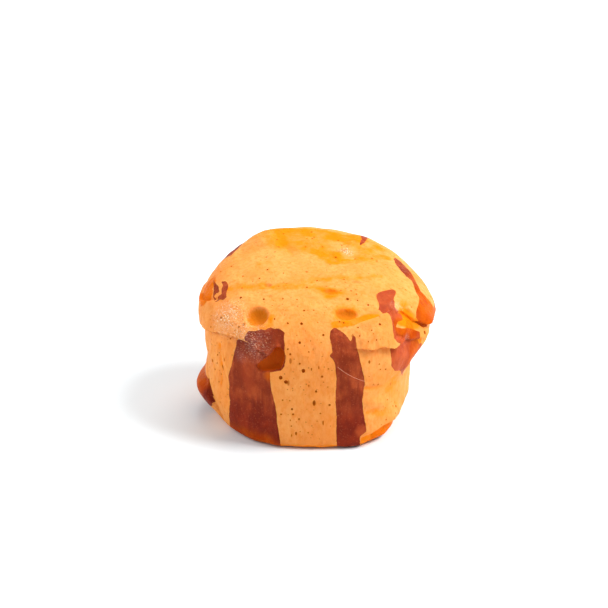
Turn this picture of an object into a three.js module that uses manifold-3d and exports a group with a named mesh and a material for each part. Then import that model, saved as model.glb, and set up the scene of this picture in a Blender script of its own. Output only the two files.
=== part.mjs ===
// One piece of striped salt water taffy, standing on its cut foot. It is a squat pillow of pulled candy:
// upright walls, a soft dome on top, and folds of the soft candy lapping over the shoulder. Red-brown
// bands of the same candy are laid into the side and run from the foot up to the crown. The air that
// was pulled into the candy shows as two open bubbles on the shoulder and a torn one on the front.
//
// Millimetres, +Z up, origin at the middle of the foot. The front faces -Y. An azimuth is counted in
// degrees from the front, and grows towards +X.

import * as THREE from "three";
import { mergeVertices } from "three/addons/utils/BufferGeometryUtils.js";
import Module from "manifold-3d";

const wasm = await Module();
wasm.setup();

// The pillow.
const HEIGHT = 17.9;
const HALF_WIDTH_RIGHT = 13.75;
const HALF_WIDTH_LEFT = 13.45;
const HALF_DEPTH_FRONT = 12.1;
const HALF_DEPTH_BACK = 12.3;
const SQUARENESS = 2.3; // exponent of the plan's outline, where 2 is an ellipse
const SHOULDER_BLEND = 4.0;
const FOOT_BLEND = 1.5;
const DOME_TOP_X = -1;
const DOME_DROP = 0.0125; // how fast the dome falls off to the left and right
const SHOULDER_START = 6.5; // so far from its top the dome falls off faster
const SHOULDER_DROP = 0.029;
const DOME_FRONT_START = 3; // in front of this y the dome falls off to the front too
const DOME_FRONT_DROP = 0.02;
const BACK_RISE = { by: 0.45, x: -2.6, reach: 9, y: [1, 7] }; // the dome is a little higher at the back

// Where the left and right sides are: the azimuths at which a side starts, is full, is no longer full
// and ends.
const LEFT_SIDE = [-20, -70, -120, -175];
const RIGHT_SIDE = [20, 75, 120, 170];

// The walls lean in towards the foot by these shares of their radius.
const WALL_TOP = 13.5; // above this height only the waist leans in
const LEAN_ALL_ROUND = 0.05;
const LEAN_LEFT = 0.035;
const LEAN_RIGHT = 0.187;
const WAIST = [11.6, 6.4]; // the heights between which the right side draws in
const LEFT_DENT = { share: 0.02, z: 7, reach: 2.2 };
const FOOT_SPREAD = { by: 0.4, azimuth: 36, reach: 26, z: [7, 1] };
const RIGHT_FOOT_DENT = { by: 0.7, z: 2.7, reach: 2.5 };
const LEFT_FOOT_DENT = { by: 0.75, z: [4, 0] };

// The folds lap over each other with a step of this width, and undercut a little.
const FOLD_STEP = 0.5;
const FOLD_REACH = 3.5; // a fold only moves the candy this close to the surface

// Laps that run round the side. A lap has a lip, as azimuth and height. The candy rises above the lip and
// drops back under it, and both fade out over a height.
const LAPS = [
  { // the broad flap over the left shoulder, with its lip at about two thirds of the height
    lip: [[-95, 10.7], [-80, 11.1], [-65, 11.9], [-52, 12.5], [-41, 12.6], [-36, 12.3]],
    side: [-37, -60, -120, -165], undercut: 0.8, rise: 0.2, riseOver: 5, drop: 0.45, dropOver: 6.5,
  },
  { // the fat lobe at the far right, which overhangs the wall below it
    lip: [[59, 14.0], [64, 12.8], [70, 12.2], [110, 11.6], [150, 11.2]],
    side: [54, 62, 120, 165], undercut: 0.8, rise: 0.45, riseOver: 4, drop: 0.4, dropOver: 3.5,
  },
  { // the crease below the hollow at the front right
    lip: [[40, 12.1], [47, 11.7], [54, 11.2], [66, 10.7]],
    side: [42, 52, 66, 80], undercut: 0.5, rise: 0.28, riseOver: 2.2, drop: 0.22, dropOver: 1.6,
  },
];

// The tongue: its top edge and low edge over x, and its right edge over z.
const TONGUE = {
  top: [[2, 14.1], [3.9, 14.2], [4.5, 14.45], [7, 14.7], [9, 14.85]],
  low: [[3, 11.6], [5.3, 11.8], [9.3, 12.0]],
  right: [[10, 8.0], [11.8, 8.2], [12.3, 9.2], [12.8, 8.5], [14.8, 7.95]],
  undercut: 0.6, lift: 0.65, x: [2.6, 6.2], middleX: 8.5, reachX: 7, y: [-3, -6],
};

const RIGHT_HOLLOW = { by: 0.75, azimuth: 58, reach: 17, z: 11.6, reachZ: 3.4 };
const FOOT_FLAP = { z: 1.5, risesBy: 0.15, fromX: 5.6, undercut: 0.5, rise: 0.12, over: 3, drop: 0.3,
  x: [4.2, 6.3], y: [-2, -5] };
const LEFT_LOBE = { edge: [[0, -60], [2.2, -63], [3.8, -67], [5.4, -72], [8, -84]], undercut: 0.4, bulge: 1.6,
  azimuth: -84, reach: 26, z: 2.4, reachZ: 2.8 };
const MM_PER_DEGREE = 0.21; // on the side of the candy

// Soft swellings and hollows of the dome: a middle, a reach and a lift.
const SWELLINGS = [
  { at: [-6.3, 6.6, 17.9], reach: 3.0, lift: 0.42 },
  { at: [3.4, 3.6, 17.8], reach: 2.6, lift: -0.3 },
  { at: [5.2, 7.6, 17.4], reach: 2.6, lift: 0.24 },
];

// The air in it: where each open bubble's middle lies, and its half axes.
const BUBBLES = [
  { at: [-6.85, -8.85, 15.62], half: [1.55, 1.4, 1.55] },
  { at: [3.3, -8.45, 15.5], half: [1.4, 0.9, 0.85] },
  { at: [1.56, -5.15, 16.62], half: [1.1, 0.5, 0.42] },
];
const BUBBLE_FACETS = 10;
// The torn bubble on the front is a round-ended cone lying slantwise in the wall.
const TORN_FROM = new THREE.Vector3(-6.3, -11.1, 9.75);
const TORN_TO = new THREE.Vector3(-4.5, -11.1, 11.15);
const TORN_SMALL_RADIUS = 0.45;
const TORN_LARGE_RADIUS = 1.3;

// The bands are laid in this deep, and keep a thin gap to the candy round them.
const BAND_DEPTH = 1.6;
const BAND_GAP = 0.3;
const BAND_STEPS_ACROSS = 3;
const BAND_STEPS_UP = 10;
const BELOW_FOOT = -1.5;
const OUTSIDE = 20; // a radius that clears the candy everywhere

// Each band's edges, as rows of height, left azimuth and right azimuth, from its low end to its top.
const BANDS = [
  {
    name: "stripe_front_left",
    color: 0x93432b,
    rows: [[BELOW_FOOT, -48, -19], [2, -49, -19.5], [6.5, -47, -23], [9.1, -46, -24.8], [11.1, -43, -19.7],
      [12.5, -41, -16.4], [14.1, -33, -17.5]],
  },
  {
    name: "stripe_front_right",
    color: 0x8c3c28,
    rows: [[BELOW_FOOT, 11, 24], [2.2, 10.8, 26.5], [5.8, 10, 24], [9, 9.9, 23.9], [11.6, 8.8, 22.2],
      [13, 6.6, 19.9], [14.2, 7, 11]],
  },
  {
    name: "stripe_right",
    color: 0xc65a3c,
    rows: [[7, 53, 57], [8.6, 44, 61], [10.4, 40, 64], [12, 41.5, 62], [13.6, 42.2, 53], [14.8, 45.6, 57],
      [15.9, 54, 71]],
  },
  {
    name: "stripe_far_right",
    color: 0xd45a2c,
    rows: [[BELOW_FOOT, 93, 110], [5, 92, 110], [9, 90, 107], [12, 74, 100], [13.4, 66, 92],
      [14.4, 80, 92], [15.2, 94, 105], [16.2, 108, 117]],
  },
  {
    name: "stripe_back_right",
    color: 0x9c4a30,
    rows: [[BELOW_FOOT, 137, 154], [6, 138, 155], [12, 136, 153], [15, 139, 152], [16.7, 143, 150]],
  },
  {
    name: "stripe_back",
    color: 0x93432b,
    rows: [[BELOW_FOOT, 174, 192], [6, 173, 194], [12, 175, 193], [14.4, 178, 190]],
  },
  {
    name: "stripe_back_left",
    color: 0x93432b,
    rows: [[BELOW_FOOT, 222, 243], [5, 221, 244], [11, 224, 242], [15.8, 228, 239]],
  },
  {
    name: "stripe_left",
    color: 0xa34c28,
    rows: [[BELOW_FOOT, -95, -61], [2.6, -96, -64], [4.7, -98, -70], [6, -101, -90], [8.3, -103, -93],
      [10.9, -103, -83], [14, -98, -76], [15.7, -88, -73]],
  },
];
const CREAM = 0xf2b062;

// Rays from the heart of the piece find its skin. They lie closest where the folds are: each pair is a
// ray's number, then its angle in degrees down from the top, or round from the front.
const HEART_HEIGHT = 8.5;
const RAYS_DOWN = [[0, 0], [5, 42], [25, 110], [30, 128], [32, 180]];
const RAYS_ROUND = [[0, -90], [40, 90], [58, 270]];
const FAR = 24; // where a ray starts its way in to the skin
const MARCH_STEP = 0.25;
const HALVINGS = 24;
const FLAT_WITHIN = 0.002; // points this near to the table lie on it
const WELD_WITHIN = 1e-4;
const BAND_ROUGHNESS = 0.5;
const CREAM_ROUGHNESS = 0.45;

const radians = THREE.MathUtils.degToRad;
const clamp = THREE.MathUtils.clamp;

// From 0 at a to 1 at b, with a soft start and end.
function ease(a, b, x) {
  const t = clamp((x - a) / (b - a), 0, 1);
  return t * t * (3 - 2 * t);
}

// A soft hump: 1 at 0, and 0 from -1 down and from 1 up.
function hump(t) {
  const h = Math.max(1 - t * t, 0);
  return h * h;
}

// The larger of a and b, with the corner between them rounded over k.
function roundedMax(a, b, k) {
  const h = Math.max(k - Math.abs(a - b), 0) / k;
  return Math.max(a, b) + h * h * k * 0.25;
}

// The value at x along straight lines between [x, value] points.
function along(points, x) {
  if (x <= points[0][0]) return points[0][1];
  for (let i = 1; i < points.length; i++) {
    const [x0, a] = points[i - 1];
    const [x1, b] = points[i];
    if (x <= x1) return a + ((b - a) * (x - x0)) / (x1 - x0);
  }
  return points.at(-1)[1];
}

// The pillow's radius at mid height: a rounded square, a little different on each side.
function planRadius(azimuth) {
  const s = Math.sin(radians(azimuth));
  const c = Math.cos(radians(azimuth));
  const halfWidth = s > 0 ? HALF_WIDTH_RIGHT : HALF_WIDTH_LEFT;
  const halfDepth = c > 0 ? HALF_DEPTH_FRONT : HALF_DEPTH_BACK;
  const sum = Math.abs(s / halfWidth) ** SQUARENESS + Math.abs(c / halfDepth) ** SQUARENESS;
  return sum ** (-1 / SQUARENESS);
}

// How much of a side an azimuth has: 1 in its middle and 0 outside it.
function sideShare([start, full, fullEnd, end], azimuth) {
  return ease(start, full, azimuth) * ease(end, fullEnd, azimuth);
}

// The plain pillow: positive outside, about a distance in millimetres near the skin.
function pillow(x, y, z, azimuth, radius) {
  const right = sideShare(RIGHT_SIDE, azimuth);
  const left = sideShare(LEFT_SIDE, azimuth);
  const low = Math.max(1 - z / WALL_TOP, 0);
  const lean = LEAN_ALL_ROUND * low + LEAN_RIGHT * right * ease(...WAIST, z) + LEAN_LEFT * left * low
    + LEFT_DENT.share * left * hump((z - LEFT_DENT.z) / LEFT_DENT.reach);
  const foot = FOOT_SPREAD.by * hump((azimuth - FOOT_SPREAD.azimuth) / FOOT_SPREAD.reach)
    * ease(...FOOT_SPREAD.z, z)
    - RIGHT_FOOT_DENT.by * right * hump((z - RIGHT_FOOT_DENT.z) / RIGHT_FOOT_DENT.reach)
    - LEFT_FOOT_DENT.by * left * ease(...LEFT_FOOT_DENT.z, z);
  const wall = radius - planRadius(azimuth) * (1 - lean) - foot;
  const fromTop = x - DOME_TOP_X;
  const crown = HEIGHT - DOME_DROP * fromTop ** 2
    - SHOULDER_DROP * Math.max(Math.abs(fromTop) - SHOULDER_START, 0) ** 2
    - DOME_FRONT_DROP * Math.max(DOME_FRONT_START - y, 0) ** 2
    + BACK_RISE.by * hump((x - BACK_RISE.x) / BACK_RISE.reach) * ease(...BACK_RISE.y, y);
  return roundedMax(roundedMax(wall, z - crown, SHOULDER_BLEND), -z, FOOT_BLEND);
}

// 1 above a fold's edge and 0 below it, where s is the height above the edge.
function step(s) {
  return ease(-FOLD_STEP / 2, FOLD_STEP / 2, s);
}

function lap(fold, azimuth, z, skin) {
  const above = z - along(fold.lip, azimuth);
  const up = step(above + fold.undercut * skin);
  const rise = fold.rise * up * hump(above / fold.riseOver);
  const drop = fold.drop * (1 - up) * hump(above / fold.dropOver);
  return sideShare(fold.side, azimuth) * (rise - drop);
}

// The cream tongue folded down over the front-right shoulder.
function tongue(x, y, z, skin) {
  const { top, low, right, undercut, lift, middleX, reachX } = TONGUE;
  const within = Math.min(along(top, x) - z, along(right, z) - x, z - along(low, x));
  const fade = ease(...TONGUE.x, x) * hump((x - middleX) / reachX) * ease(...TONGUE.y, y);
  return lift * step(within + undercut * skin) * fade;
}

// The hollow between the tongue and the far-right lobe.
function rightHollow(azimuth, z) {
  const { by, reach, reachZ } = RIGHT_HOLLOW;
  return -by * hump((azimuth - RIGHT_HOLLOW.azimuth) / reach) * hump((z - RIGHT_HOLLOW.z) / reachZ);
}

// The thin edge of the front wall that stands proud of the foot at the lower right.
function footFlap(x, y, z, skin) {
  const lip = FOOT_FLAP.z + FOOT_FLAP.risesBy * Math.max(x - FOOT_FLAP.fromX, 0) ** 2;
  const up = step(z - lip + FOOT_FLAP.undercut * skin);
  const rise = FOOT_FLAP.rise * up * hump((z - lip) / FOOT_FLAP.over);
  return ease(...FOOT_FLAP.x, x) * ease(...FOOT_FLAP.y, y) * (rise - FOOT_FLAP.drop * (1 - up));
}

// The lobe of darker candy pressed out at the lower left, behind the wall's edge.
function leftLobe(azimuth, z, skin) {
  const { edge, undercut, bulge, reach, reachZ } = LEFT_LOBE;
  const up = step((along(edge, z) - azimuth) * MM_PER_DEGREE + undercut * skin);
  return up * bulge * hump((azimuth - LEFT_LOBE.azimuth) / reach) * hump((z - LEFT_LOBE.z) / reachZ);
}

// The whole candy before its bubbles open: positive outside it, negative inside.
function candy(x, y, z) {
  const azimuth = THREE.MathUtils.radToDeg(Math.atan2(x, -y));
  const skin = pillow(x, y, z, azimuth, Math.hypot(x, y));
  let lift = tongue(x, y, z, skin) + rightHollow(azimuth, z) + footFlap(x, y, z, skin)
    + leftLobe(azimuth, z, skin);
  for (const fold of LAPS) lift += lap(fold, azimuth, z, skin);
  for (const { at, reach, lift: by } of SWELLINGS) {
    lift += by * hump(Math.hypot(x - at[0], y - at[1], z - at[2]) / reach);
  }
  return Math.max(skin - lift * hump(skin / FOLD_REACH), -z);
}

// How far along a ray the skin lies, coming from outside.
function reach(from, direction, f = candy) {
  const at = (t) => f(from.x + direction.x * t, from.y + direction.y * t, from.z + direction.z * t);
  let t = FAR;
  while (t > MARCH_STEP && at(t) > 0) t -= MARCH_STEP;
  let inside = t;
  let outside = t + MARCH_STEP;
  for (let i = 0; i < HALVINGS; i++) {
    const middle = (inside + outside) / 2;
    if (at(middle) > 0) outside = middle;
    else inside = middle;
  }
  return inside;
}

// A closed mesh from two poles and rings of points between them, ordered down and to the right.
function ringedMesh(top, rings, bottom) {
  const around = rings[0].length;
  const points = [top, ...rings.flat(), bottom];
  const last = points.length - 1;
  const at = (ring, i) => 1 + ring * around + (i % around);
  const faces = [];
  for (let i = 0; i < around; i++) {
    faces.push(0, at(0, i), at(0, i + 1));
    faces.push(last, at(rings.length - 1, i + 1), at(rings.length - 1, i));
    for (let ring = 0; ring + 1 < rings.length; ring++) {
      faces.push(at(ring, i), at(ring + 1, i), at(ring + 1, i + 1));
      faces.push(at(ring, i), at(ring + 1, i + 1), at(ring, i + 1));
    }
  }
  return { points, faces };
}

function shapeOf({ points, faces }) {
  const shape = new THREE.BufferGeometry();
  shape.setAttribute("position", new THREE.Float32BufferAttribute(points.flatMap((p) => [p.x, p.y, p.z]), 3));
  shape.setIndex(faces);
  return shape;
}

function solid(shape) {
  shape.deleteAttribute("normal");
  shape.deleteAttribute("uv");
  const merged = mergeVertices(shape, WELD_WITHIN);
  return new wasm.Manifold(new wasm.Mesh({
    numProp: 3,
    vertProperties: merged.getAttribute("position").array,
    triVerts: new Uint32Array(merged.getIndex().array),
  }));
}

function wholeCandy() {
  const heart = new THREE.Vector3(0, 0, HEART_HEIGHT);
  const hit = (down, azimuth) => {
    const flat = Math.sin(down);
    const direction = new THREE.Vector3(flat * Math.sin(azimuth), -flat * Math.cos(azimuth), Math.cos(down));
    const point = heart.clone().addScaledVector(direction, reach(heart, direction));
    if (Math.abs(point.z) < FLAT_WITHIN) point.z = 0; // the foot is one flat face
    return point;
  };
  const rings = [];
  for (let ring = 1; ring < RAYS_DOWN.at(-1)[0]; ring++) {
    const points = [];
    for (let i = 0; i < RAYS_ROUND.at(-1)[0]; i++) {
      points.push(hit(radians(along(RAYS_DOWN, ring)), radians(along(RAYS_ROUND, i))));
    }
    rings.push(points);
  }
  return solid(shapeOf(ringedMesh(hit(0, 0), rings, hit(Math.PI, 0))));
}

// How far from the middle axis the plain pillow's skin lies at a height.
function skinRadius(azimuth, z) {
  const direction = new THREE.Vector3(Math.sin(radians(azimuth)), -Math.cos(radians(azimuth)), 0);
  const turned = THREE.MathUtils.euclideanModulo(azimuth + 180, 360) - 180;
  const plain = (x, y, height) => pillow(x, y, height, turned, Math.hypot(x, y));
  return reach(new THREE.Vector3(0, 0, Math.max(z, FOOT_BLEND)), direction, plain);
}

// The space that a band takes up: from its depth under the skin out past the candy, larger all round
// by grow.
function bandSpace({ rows }, grow) {
  const low = rows[0][0];
  const high = rows.at(-1)[0];
  const heightAt = (v) => low + ((high - low) * v) / BAND_STEPS_UP;
  const heights = Array.from({ length: BAND_STEPS_UP + 1 }, (_, v) => heightAt(v));
  if (grow > 0) heights.splice(0, heights.length, low - grow, ...heights, high + grow);
  const leftEdge = rows.map(([z, left]) => [z, left]);
  const rightEdge = rows.map(([z, , right]) => [z, right]);
  const rings = heights.map((z) => {
    const inner = [];
    const outer = [];
    for (let u = 0; u <= BAND_STEPS_ACROSS; u++) {
      const share = u / BAND_STEPS_ACROSS;
      const azimuth = THREE.MathUtils.lerp(along(leftEdge, z), along(rightEdge, z), share);
      const skin = skinRadius(azimuth, z);
      const angle = radians(azimuth) + (grow / skin) * (2 * share - 1);
      const point = (r) => new THREE.Vector3(r * Math.sin(angle), -r * Math.cos(angle), z);
      inner.push(point(skin - BAND_DEPTH - grow));
      outer.push(point(OUTSIDE));
    }
    return [...outer, ...inner.reverse()];
  });
  rings.reverse();
  const sumOf = (ring) => ring.reduce((sum, p) => sum.add(p), new THREE.Vector3());
  const middleOf = (ring) => sumOf(ring).divideScalar(ring.length);
  return solid(shapeOf(ringedMesh(middleOf(rings[0]), rings, middleOf(rings.at(-1)))));
}

function bubbleSpace({ at, half }) {
  return solid(new THREE.SphereGeometry(1, BUBBLE_FACETS, BUBBLE_FACETS / 2).scale(...half).translate(...at));
}

function tornSpace() {
  const run = TORN_TO.clone().sub(TORN_FROM);
  const profile = [];
  for (let i = 0; i <= BUBBLE_FACETS; i++) {
    const angle = (Math.PI * i) / BUBBLE_FACETS - Math.PI / 2;
    const low = angle < 0;
    const radius = low ? TORN_SMALL_RADIUS : TORN_LARGE_RADIUS;
    const middle = low ? 0 : run.length();
    const onAxis = i === 0 || i === BUBBLE_FACETS;
    profile.push(new THREE.Vector2(onAxis ? 0 : radius * Math.cos(angle), middle + radius * Math.sin(angle)));
  }
  const cone = new THREE.LatheGeometry(profile, BUBBLE_FACETS);
  const up = new THREE.Vector3(0, 1, 0);
  cone.applyQuaternion(new THREE.Quaternion().setFromUnitVectors(up, run.normalize()));
  return solid(cone.translate(...TORN_FROM));
}

function largest(shape) {
  return shape.decompose().sort((a, b) => b.volume() - a.volume())[0];
}

function namedMesh(name, shape, color, roughness) {
  const { vertProperties, triVerts } = shape.getMesh();
  const geometry = new THREE.BufferGeometry();
  geometry.setAttribute("position", new THREE.BufferAttribute(vertProperties, 3));
  geometry.setIndex(new THREE.BufferAttribute(triVerts, 1));
  geometry.computeVertexNormals();
  const mesh = new THREE.Mesh(geometry, new THREE.MeshStandardMaterial({ color, roughness, metalness: 0 }));
  mesh.name = name;
  return mesh;
}

let whole = wholeCandy().subtract(tornSpace());
for (const bubble of BUBBLES) whole = whole.subtract(bubbleSpace(bubble));
let cream = whole;
const group = new THREE.Group();
for (const band of BANDS) {
  group.add(namedMesh(band.name, largest(whole.intersect(bandSpace(band, 0))), band.color, BAND_ROUGHNESS));
  cream = cream.subtract(bandSpace(band, BAND_GAP));
}
group.add(namedMesh("taffy", largest(cream), CREAM, CREAM_ROUGHNESS));

export default group;
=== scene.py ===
# One piece of striped salt water taffy, standing on a pale table. Shapes are worked out in millimetres,
# and every mesh is made in metres. The front faces -Y, and an azimuth is counted in degrees from the
# front towards +X.
import math
import bpy
import numpy as np
import openvdb
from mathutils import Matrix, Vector


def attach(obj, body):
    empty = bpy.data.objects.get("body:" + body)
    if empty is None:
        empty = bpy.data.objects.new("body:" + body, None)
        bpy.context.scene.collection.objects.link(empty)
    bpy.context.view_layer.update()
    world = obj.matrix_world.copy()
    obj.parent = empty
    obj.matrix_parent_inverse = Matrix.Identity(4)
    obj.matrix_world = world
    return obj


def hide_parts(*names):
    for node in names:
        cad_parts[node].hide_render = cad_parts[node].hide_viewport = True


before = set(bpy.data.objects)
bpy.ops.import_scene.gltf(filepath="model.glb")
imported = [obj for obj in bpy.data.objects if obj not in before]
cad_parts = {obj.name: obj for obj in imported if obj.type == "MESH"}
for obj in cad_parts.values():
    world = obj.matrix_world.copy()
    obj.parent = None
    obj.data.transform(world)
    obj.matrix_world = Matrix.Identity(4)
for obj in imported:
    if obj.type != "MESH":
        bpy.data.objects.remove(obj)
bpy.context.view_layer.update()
scene = bpy.context.scene


# ---- The pillow of pulled candy ----------------------------------------------
# The taffy is pulled sugar candy, cut from a rope and pressed into a squat pillow: a rounded square
# in plan, upright walls and a soft dome, with the right side drawn in above the foot.
HEIGHT = 17.9
HALF_WIDTH_RIGHT, HALF_WIDTH_LEFT = 13.75, 13.45
HALF_DEPTH_FRONT, HALF_DEPTH_BACK = 12.1, 12.3
SQUARENESS = 2.3  # exponent of the plan's outline, where 2 is an ellipse
SHOULDER_BLEND, FOOT_BLEND = 4.0, 1.2
WALL_TOP = 13.5  # below this the walls lean in towards the foot
LEAN_ALL_ROUND, LEAN_RIGHT, LEAN_LEFT, LEFT_DENT = 0.05, 0.187, 0.035, 0.02  # shares of the radius
WAIST = (11.6, 6.4)  # the heights between which the right side draws in
FOOT_SPREAD, RIGHT_FOOT_DENT, LEFT_FOOT_DENT = 0.4, 0.6, 0.75
DOME_TOP_X = -1
DOME_DROP, SHOULDER_DROP, FRONT_DROP = 0.0125, 0.029, 0.02
SHOULDER_START, FRONT_START = 6.5, 3
BACK_RISES = ((0.45, -2.6, 9), (0.35, -5.6, 2.8))  # each a lift, and its middle and reach in x
BACK_RISE_Y = (1, 7)


def ease(a, b, x):
    """0 at a, 1 at b, with a soft start and end."""
    t = np.clip((x - a) / (b - a), 0, 1)
    return t * t * (3 - 2 * t)


def hump(t):
    """1 at 0, falling softly to 0 at -1 and 1."""
    h = np.clip(1 - t * t, 0, 1)
    return h * h


def rounded_max(a, b, k):
    """The larger of a and b, with the corner between them rounded over k."""
    h = np.maximum(k - np.abs(a - b), 0) / k
    return np.maximum(a, b) + h * h * k * 0.25


def azimuth_of(x, y):
    return np.degrees(np.arctan2(x, -y))


def wall_and_crown(x, y, z):
    """How far outside its upright wall, and how far above its dome, a place lies."""
    azimuth = azimuth_of(x, y)
    turn = np.radians(azimuth)
    half_width = np.where(x > 0, HALF_WIDTH_RIGHT, HALF_WIDTH_LEFT)
    half_depth = np.where(y < 0, HALF_DEPTH_FRONT, HALF_DEPTH_BACK)
    across, along = np.abs(np.sin(turn) / half_width), np.abs(np.cos(turn) / half_depth)
    plan_radius = (across ** SQUARENESS + along ** SQUARENESS) ** (-1 / SQUARENESS)
    right = ease(20, 75, azimuth) * ease(170, 120, azimuth)
    left = ease(-20, -70, azimuth) * ease(-175, -120, azimuth)
    low = np.clip(1 - z / WALL_TOP, 0, 1.2)
    lean = (LEAN_ALL_ROUND * low + LEAN_RIGHT * right * ease(*WAIST, z) + LEAN_LEFT * left * low
            + LEFT_DENT * left * hump((z - 7) / 2.2))
    spread_foot = (FOOT_SPREAD * hump((azimuth - 36) / 26) * ease(7, 1, z)
                   - RIGHT_FOOT_DENT * right * hump((z - 0.9) / 2.0))
    drawn_foot = LEFT_FOOT_DENT * left * ease(4.0, 0, z)
    wall = np.hypot(x, y) - plan_radius * (1 - lean) - spread_foot + drawn_foot
    from_top = x - DOME_TOP_X
    past_shoulder = np.clip(np.abs(from_top) - SHOULDER_START, 0, None)
    crown = HEIGHT - DOME_DROP * from_top ** 2 - SHOULDER_DROP * past_shoulder ** 2
    crown = crown - np.where(y < FRONT_START, FRONT_DROP, 0.0) * (y - FRONT_START) ** 2
    for lift, middle, reach in BACK_RISES:
        crown = crown + lift * hump((x - middle) / reach) * ease(*BACK_RISE_Y, y)
    return wall, z - crown


def pillow(x, y, z, foot_blend=FOOT_BLEND):
    """The plain pillow: about the distance from its skin, positive outside."""
    wall, above = wall_and_crown(x, y, z)
    return rounded_max(rounded_max(wall, above, SHOULDER_BLEND), -z, foot_blend)


# ---- Folds -------------------------------------------------------------------
# While it was soft the candy lapped over itself: a broad flap over the left shoulder, lobes at the far
# right and low at the left, a tongue at the front right, and a thin edge at its foot. Most of them end
# in a crisp lip, which is undercut at the flap and the tongue.
FOLD_STEP = 0.15
FOLD_REACH = 3.5  # a fold moves the candy only this close to its skin
UNDERCUT = 0.32


def step(height_above_lip):
    return ease(-FOLD_STEP / 2, FOLD_STEP / 2, height_above_lip)


def under(height_above_lip):
    """The narrow dark gap that a lip leaves under it."""
    return UNDERCUT * hump((height_above_lip + 0.26) / 0.28)


LEFT_FLAP_LIP = ((-150, -95, -80, -65, -58, -52, -46, -38, -36.5, -31, -25),  # azimuths
                 (10.9, 10.9, 11.25, 11.9, 12.35, 12.55, 12.65, 12.55, 12.25, 11.8, 11.4))   # heights
LEFT_FLAP_EDGE = ((-100, -85, -76.7, -72), (13.2, 13.55, 14.3, 14.75))


def left_flap(azimuth, z, skin):
    """The flap over the left shoulder, whose upper edge is tucked in at the far left."""
    lip = np.interp(azimuth, *LEFT_FLAP_LIP)
    up = step(z - lip + 0.8 * skin)
    length = ease(-22, -40, azimuth) * ease(-165, -120, azimuth)
    below_edge = np.interp(azimuth, *LEFT_FLAP_EDGE) - z + 0.5 * skin
    tuck = 0.24 * step(below_edge) * hump(below_edge / 2.4) - 0.5 * under(below_edge)
    tucked = ease(-69, -73, azimuth) * tuck
    rise = 0.1 * up * hump((z - lip) / 5.0)
    drop = 0.45 * (1 - up) * hump((z - lip) / 6.5)
    return length * (rise + tucked - drop - under(z - lip + 0.8 * skin))


RIGHT_LOBE_LIP = ((50, 55, 59.5, 61.5, 64, 70, 110, 150),
                  (14.6, 14.45, 14.2, 13.6, 12.8, 12.2, 11.6, 11.2))


def right_lobe(azimuth, z, skin):
    """The fat lobe that hangs over the wall at the far right."""
    lip = np.interp(azimuth, *RIGHT_LOBE_LIP)
    up = ease(-0.25, 0.3, z - lip + 0.8 * skin)
    length = ease(51, 60, azimuth) * ease(165, 120, azimuth)
    rise = (0.2 + 0.22 * ease(62, 74, azimuth)) * up * hump((z - lip) / 4.0)
    drop = (0.12 + 0.3 * ease(64, 80, azimuth)) * (1 - up) * hump((z - lip) / 3.5)
    return length * (rise - drop)


TONGUE_TOP = ((2, 3.9, 4.5, 7.0, 7.9, 9), (14.1, 14.2, 14.45, 14.7, 14.8, 14.85))  # x, z
TONGUE_RIGHT = ((10, 11.8, 12.15, 12.35, 12.75, 13.5, 14.75),  # z
                (8, 8.2, 9.3, 9.35, 8.5, 8.35, 7.95))  # x
TONGUE_LOW = ((3, 5.3, 7.6, 8.4, 9.3), (12.2, 12.4, 12.6, 12.3, 12.08))  # x, z


def tongue(x, y, z, skin):
    """The tongue at the front right, which ends in a small spike."""
    from_top = np.interp(x, *TONGUE_TOP) - z
    from_right = np.interp(z, *TONGUE_RIGHT) - x
    from_low = z - np.interp(x, *TONGUE_LOW)
    past = np.minimum(np.minimum(from_top, from_right), from_low) + 0.6 * skin
    lift = 0.78 * step(past) - 0.35 * under(past)
    return ease(-3, -6, y) * lift * ease(2.6, 6.2, x) * hump((x - 8.5) / 7)


def right_hollow(azimuth, z):
    """The hollow between the tongue and the lobe."""
    return -0.75 * hump((azimuth - 58) / 17) * hump((z - 11.6) / 3.4)


RIGHT_CREASE = ((36, 40, 47, 54, 60, 66, 75), (12.2, 12.15, 11.7, 11.2, 10.9, 10.65, 10.5))


def right_crease(azimuth, z, skin):
    """The crease across that hollow."""
    low = np.interp(azimuth, *RIGHT_CREASE)
    up = ease(-0.3, 0.3, z - low + 0.5 * skin)
    length = ease(41, 52, azimuth) * ease(82, 66, azimuth)
    return length * (0.28 * up * hump((z - low) / 2.2) - 0.22 * (1 - up) * hump((z - low) / 1.6))


FOOT_LIP = ((4, 5.7, 7.5, 8.7, 9.6, 10.4), (1.25, 1.6, 2.3, 2.3, 1.7, 1.0))  # x, z


def foot_lip(x):
    return np.interp(x, *FOOT_LIP)


def foot_flap(x, y, z, skin):
    """The thin edge that laps over the foot at the front right."""
    lip = foot_lip(x)
    up = step(z - lip + 0.5 * skin)
    return ease(-2, -5, y) * ease(4.2, 6.0, x) * (0.10 * up * hump((z - lip) / 3) - 0.3 * (1 - up))


DEGREE_LOW = 0.21  # millimetres that one degree spans on the side, low down
LEFT_LOBE_EDGE = ((0, 2.2, 2.8, 3.8, 4.7, 5.4, 5.7, 8),  # heights
                  (-61, -63.3, -64.3, -67.3, -69.6, -71.9, -76, -84))  # azimuths


def left_lobe(azimuth, z, skin):
    """The small lobe low at the left, behind a groove."""
    edge = np.interp(z, *LEFT_LOBE_EDGE)
    past = (edge - azimuth) * DEGREE_LOW + 0.4 * skin
    bulge = 1.6 * hump((azimuth + 84) / 26) * hump((z - 3.2) / np.where(z > 3.2, 1.75, 3.0))
    groove = -0.5 * hump(past / 0.45 - 0.5) * hump((z - 3.6) / 4)
    return step(past) * bulge + groove


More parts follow.
